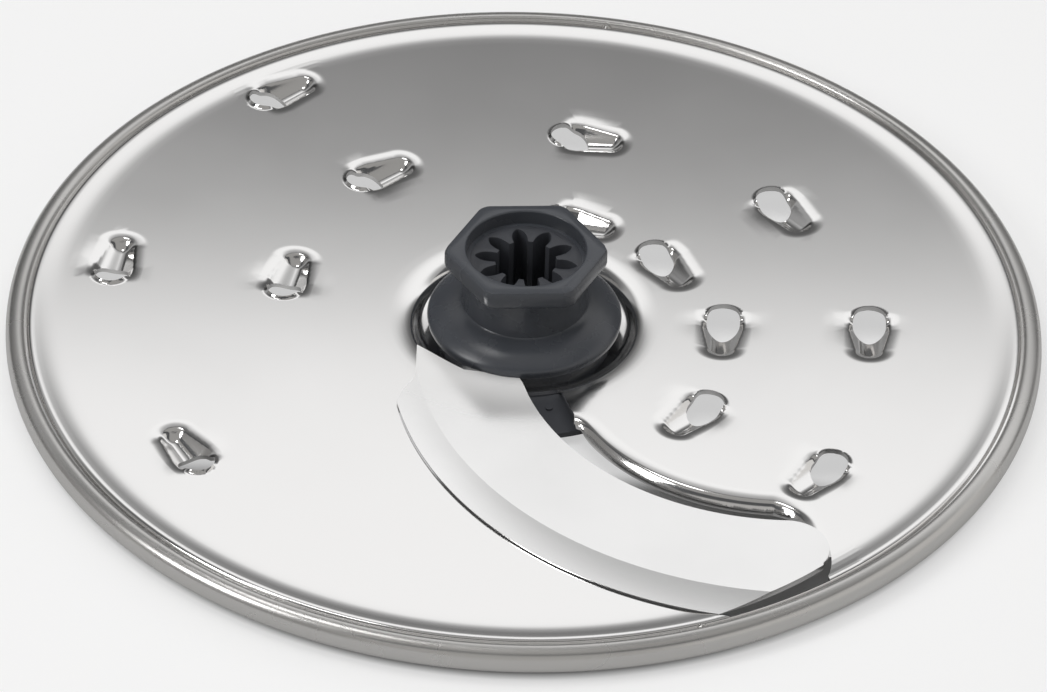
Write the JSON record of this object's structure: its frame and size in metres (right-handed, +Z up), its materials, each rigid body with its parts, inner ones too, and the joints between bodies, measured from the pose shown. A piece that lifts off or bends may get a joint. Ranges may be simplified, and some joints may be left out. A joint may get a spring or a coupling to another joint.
{
  "type": "food processor slicing and shredding disc",
  "caption": "Reversible food processor disc: polished steel plate with pressed shredding teeth, a curved slicing blade, a rolled rim and a hexagonal hub.",
  "frame": {"origin": "on the disc's axis, at the level of the lower hub's resting face", "axes": "+Z up along the drive axis, out of the slicing side; +X to the right; the slicing blade lies on the -Y side"},
  "size_m": [0.18, 0.18, 0.0209],
  "materials": {
    "polished_plate": "mirror polished stainless steel, slightly hazed",
    "rim_steel": "satin rolled stainless steel",
    "weld_steel": "small rounded tack weld beads",
    "blade_steel": "polished blade with a ground bevel",
    "hub_plastic": "semi-gloss charcoal moulded plastic",
    "lower_hub_plastic": "satin charcoal moulded plastic",
    "sleeve_plastic": "satin dark moulded plastic",
    "screw_steel": "turned steel screw heads"
  },
  "bodies": {
    "root": {"cutting_plate": "polished_plate", "rim_ring": "rim_steel", "rim_tacks": "weld_steel", "slicing_blade": "blade_steel", "upper_hub": "hub_plastic", "lower_hub": "lower_hub_plastic", "drive_sleeve": "sleeve_plastic", "hub_screws": "screw_steel"}
  },
  "joints": []
}
